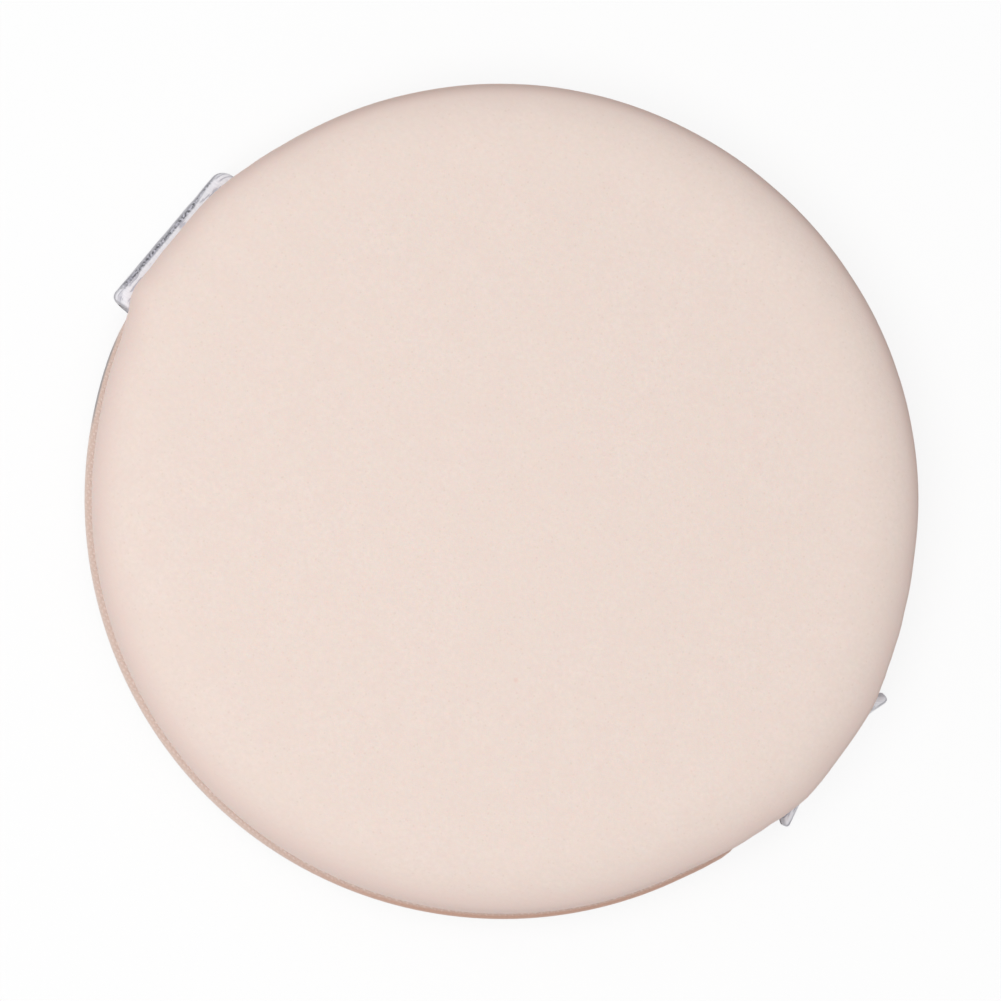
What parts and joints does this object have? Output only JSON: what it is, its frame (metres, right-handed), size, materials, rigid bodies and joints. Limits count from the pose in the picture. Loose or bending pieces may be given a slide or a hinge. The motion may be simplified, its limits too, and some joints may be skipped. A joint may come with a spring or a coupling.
{
  "type": "cushion puff",
  "caption": "Round make-up sponge with a smooth crowned face, a fabric back pressed on round the rim, and a satin finger ribbon across the back.",
  "frame": {"origin": "under the middle of the puff, on the surface that it lies on, which the flat underside of the ribbon touches", "axes": "+Z out of the application face, +X along the ribbon towards its snug fold"},
  "size_m": [0.0534, 0.052, 0.0081],
  "materials": {
    "porous_skin": "matt, finely porous polyurethane",
    "sponge": "open-cell foam",
    "clear_film": "thin milky film",
    "hot_melt": "pressed adhesive",
    "tan_fabric": "fine warp-knit, matt",
    "satin": "satin, silky sheen"
  },
  "bodies": {
    "pad": {"face_skin": "porous_skin", "cushion_core": "sponge", "barrier_film": "clear_film", "seam_bond": "hot_melt", "back_cover": "tan_fabric"},
    "ribbon": {"ribbon_strap": "satin"}
  },
  "joints": [
    {"name": "ribbon_lift", "type": "slide", "parent": "pad", "child": "ribbon", "axis": [0, 0, -1], "range_m": [0, 0.011], "deforming": ["ribbon_strap"]}
  ]
}
